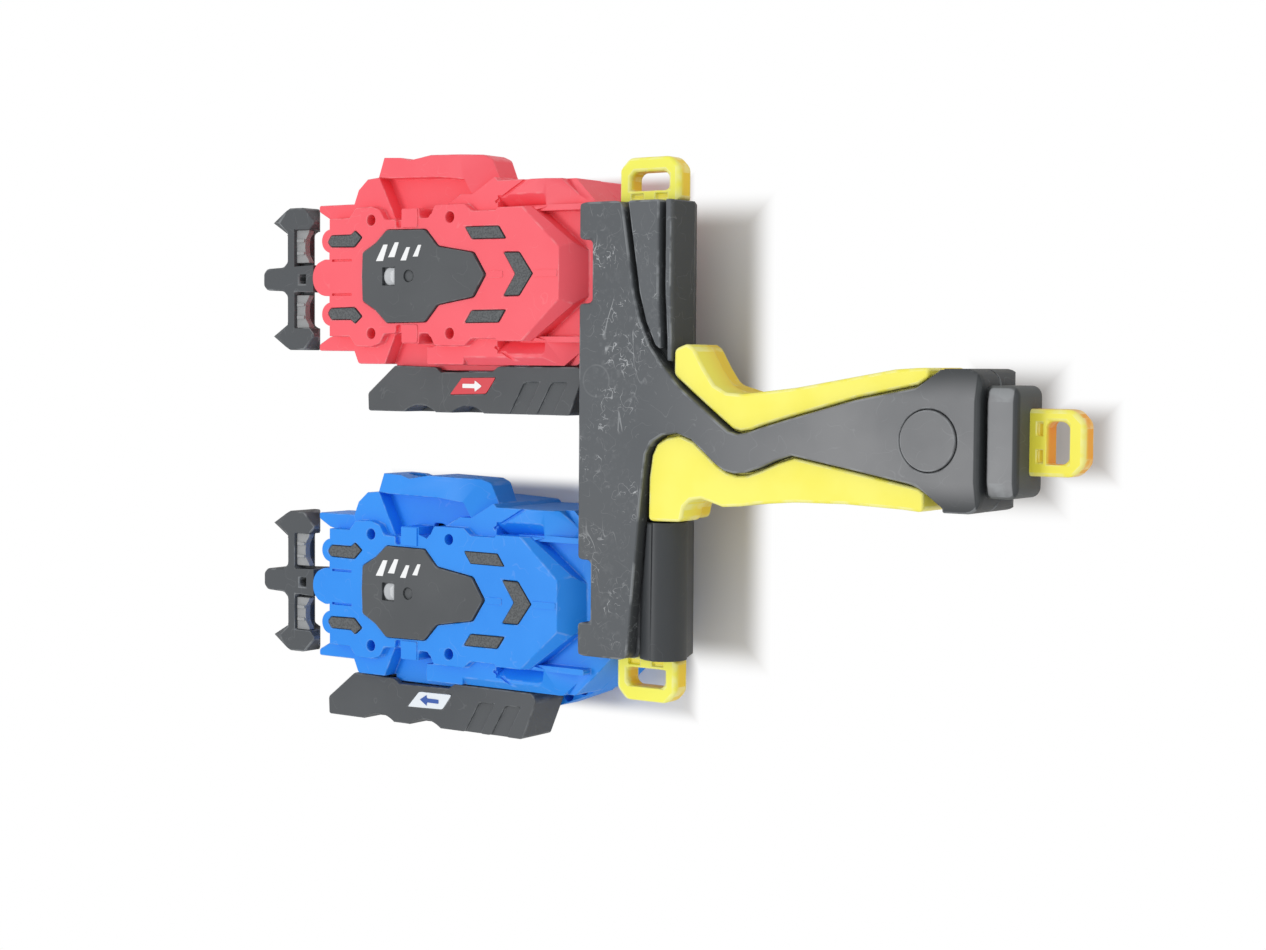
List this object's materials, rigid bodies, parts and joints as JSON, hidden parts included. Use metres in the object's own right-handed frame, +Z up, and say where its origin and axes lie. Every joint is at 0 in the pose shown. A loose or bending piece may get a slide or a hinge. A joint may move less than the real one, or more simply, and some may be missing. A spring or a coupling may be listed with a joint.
{
  "type": "spinning top launcher",
  "caption": "Cord-pull spinning top launchers docked side by side on a T-shaped hand grip, with spin-direction selector bars, T pull handles and strap loops.",
  "frame": {"origin": "middle of the bounding box on the surface that the part lies on", "axes": "+X from the pull handles towards the grip's strap loop, +Y from the blue launcher towards the red one, +Z up, away from the surface, out of the decks"},
  "size_m": [0.262, 0.1622, 0.0335],
  "materials": {
    "red_shell": "satin moulded ABS",
    "blue_shell": "satin moulded ABS",
    "matte_black": "fine-grained moulded ABS",
    "charcoal_grip": "matte, with wear scratches",
    "gloss_black": "polished",
    "textured_black": "pebbled",
    "satin_grey": "satin",
    "yellow": "soft gloss",
    "yellow_loop": "gloss",
    "print_white": "flat print",
    "red_label": "printed plate",
    "blue_label": "printed plate",
    "nylon_white": "natural acetal",
    "cord": "braided cord",
    "spring_steel": "blued strip",
    "pin_steel": "zinc-plated"
  },
  "bodies": {
    "grip": {"spine_cover": "charcoal_grip", "thumb_disc": "charcoal_grip", "crossbar_shell": "matte_black", "barrel_cover": "gloss_black", "shoulder_cover": "charcoal_grip", "upper_front_panel": "yellow", "upper_back_panel": "yellow", "lower_front_panel": "yellow", "lower_back_panel": "yellow", "back_cover": "charcoal_grip", "pommel_cap": "charcoal_grip", "handle_loop": "yellow_loop", "red_side_loop": "yellow_loop", "blue_side_loop": "yellow_loop", "grip_screws": "pin_steel"},
    "red_case": {"red_top_shell": "red_shell", "red_bottom_shell": "red_shell", "red_crown_cover": "matte_black", "red_crown_marks": "print_white", "red_grip_inserts": "textured_black", "red_cord_bush": "matte_black", "red_axle_pins": "pin_steel", "red_head_bush": "nylon_white", "red_case_screws": "pin_steel", "red_return_spring": "spring_steel"},
    "red_handle": {"red_pull_handle": "matte_black", "red_handle_pads": "satin_grey", "red_pull_cord": "cord"},
    "red_spool": {"red_reel": "nylon_white", "red_cord_winding": "cord"},
    "red_idler_1": {"red_first_idler": "nylon_white"},
    "red_idler_2": {"red_second_idler": "nylon_white"},
    "red_head": {"red_launch_head": "matte_black"},
    "red_gear": {"red_output_gear": "nylon_white"},
    "red_fork": {"red_shift_fork": "satin_grey"},
    "red_selector": {"red_selector_bar": "matte_black", "red_selector_label": "red_label"},
    "blue_case": {"blue_top_shell": "blue_shell", "blue_bottom_shell": "blue_shell", "blue_crown_cover": "matte_black", "blue_crown_marks": "print_white", "blue_grip_inserts": "textured_black", "blue_cord_bush": "matte_black", "blue_axle_pins": "pin_steel", "blue_head_bush": "nylon_white", "blue_case_screws": "pin_steel", "blue_return_spring": "spring_steel"},
    "blue_handle": {"blue_pull_handle": "matte_black", "blue_handle_pads": "satin_grey", "blue_pull_cord": "cord"},
    "blue_spool": {"blue_reel": "nylon_white", "blue_cord_winding": "cord"},
    "blue_idler_1": {"blue_first_idler": "nylon_white"},
    "blue_idler_2": {"blue_second_idler": "nylon_white"},
    "blue_head": {"blue_launch_head": "matte_black"},
    "blue_gear": {"blue_output_gear": "nylon_white"},
    "blue_fork": {"blue_shift_fork": "satin_grey"},
    "blue_selector": {"blue_selector_bar": "matte_black", "blue_selector_label": "blue_label"}
  },
  "joints": [
    {"name": "red_dock", "type": "slide", "parent": "grip", "child": "red_case", "axis": [-1, 0, 0], "range_m": [0, 0.012]},
    {"name": "red_pull", "type": "slide", "parent": "red_case", "child": "red_handle", "axis": [-1, 0, 0], "range_m": [0, 0.45239], "stiffness_N_per_m": 5, "springref_m": -0.6, "deforming": ["red_pull_cord"]},
    {"name": "red_reel_spin", "type": "hinge", "parent": "red_case", "child": "red_spool", "pos_m": [-0.0289, 0.0473, 0.018], "axis": [0, 0, 1], "range_deg": [-1, 2161], "deforming": ["red_return_spring"]},
    {"name": "red_idler_1_spin", "type": "hinge", "parent": "red_case", "child": "red_idler_1", "pos_m": [-0.0545, 0.0473, 0.0135], "axis": [0, 0, 1], "range_deg": [-5185, 1]},
    {"name": "red_idler_2_spin", "type": "hinge", "parent": "red_case", "child": "red_idler_2", "pos_m": [-0.06205, 0.06038, 0.0162], "axis": [0, 0, 1], "range_deg": [-1, 5185]},
    {"name": "red_head_spin", "type": "hinge", "parent": "red_case", "child": "red_head", "pos_m": [-0.0696, 0.0473, 0.008], "axis": [0, 0, 1], "range_deg": [-1, 5185]},
    {"name": "red_selector_slide", "type": "slide", "parent": "red_case", "child": "red_selector", "axis": [-1, 0, 0], "range_m": [0, 0.0155]},
    {"name": "red_gear_shift", "type": "slide", "parent": "red_head", "child": "red_gear", "axis": [0, 0, 1], "range_m": [0, 0.0054]},
    {"name": "red_fork_shift", "type": "slide", "parent": "red_case", "child": "red_fork", "axis": [0, 0, 1], "range_m": [0, 0.0054]},
    {"name": "blue_dock", "type": "slide", "parent": "grip", "child": "blue_case", "axis": [-1, 0, 0], "range_m": [0, 0.012]},
    {"name": "blue_pull", "type": "slide", "parent": "blue_case", "child": "blue_handle", "axis": [-1, 0, 0], "range_m": [0, 0.45239], "stiffness_N_per_m": 5, "springref_m": -0.6, "deforming": ["blue_pull_cord"]},
    {"name": "blue_reel_spin", "type": "hinge", "parent": "blue_case", "child": "blue_spool", "pos_m": [-0.0289, -0.0427, 0.018], "axis": [0, 0, 1], "range_deg": [-1, 2161], "deforming": ["blue_return_spring"]},
    {"name": "blue_idler_1_spin", "type": "hinge", "parent": "blue_case", "child": "blue_idler_1", "pos_m": [-0.0545, -0.0427, 0.0135], "axis": [0, 0, 1], "range_deg": [-5185, 1]},
    {"name": "blue_idler_2_spin", "type": "hinge", "parent": "blue_case", "child": "blue_idler_2", "pos_m": [-0.06205, -0.02962, 0.0162], "axis": [0, 0, 1], "range_deg": [-1, 5185]},
    {"name": "blue_head_spin", "type": "hinge", "parent": "blue_case", "child": "blue_head", "pos_m": [-0.0696, -0.0427, 0.008], "axis": [0, 0, 1], "range_deg": [-5185, 1]},
    {"name": "blue_selector_slide", "type": "slide", "parent": "blue_case", "child": "blue_selector", "axis": [1, 0, 0], "range_m": [0, 0.0155]},
    {"name": "blue_gear_shift", "type": "slide", "parent": "blue_head", "child": "blue_gear", "axis": [0, 0, 1], "range_m": [-0.0054, 0]},
    {"name": "blue_fork_shift", "type": "slide", "parent": "blue_case", "child": "blue_fork", "axis": [0, 0, 1], "range_m": [-0.0054, 0]}
  ],
  "couplings": [
    {"joint": "red_reel_spin", "follows": "red_pull", "rad_per_m": 83.333},
    {"joint": "red_idler_1_spin", "follows": "red_pull", "rad_per_m": -200},
    {"joint": "red_idler_2_spin", "follows": "red_pull", "rad_per_m": 200},
    {"joint": "red_head_spin", "follows": "red_pull", "rad_per_m": 200},
    {"joint": "red_gear_shift", "follows": "red_selector_slide", "ratio": 0.34839},
    {"joint": "red_fork_shift", "follows": "red_selector_slide", "ratio": 0.34839},
    {"joint": "blue_reel_spin", "follows": "blue_pull", "rad_per_m": 83.333},
    {"joint": "blue_idler_1_spin", "follows": "blue_pull", "rad_per_m": -200},
    {"joint": "blue_idler_2_spin", "follows": "blue_pull", "rad_per_m": 200},
    {"joint": "blue_head_spin", "follows": "blue_pull", "rad_per_m": -200},
    {"joint": "blue_gear_shift", "follows": "blue_selector_slide", "ratio": -0.34839},
    {"joint": "blue_fork_shift", "follows": "blue_selector_slide", "ratio": -0.34839}
  ]
}
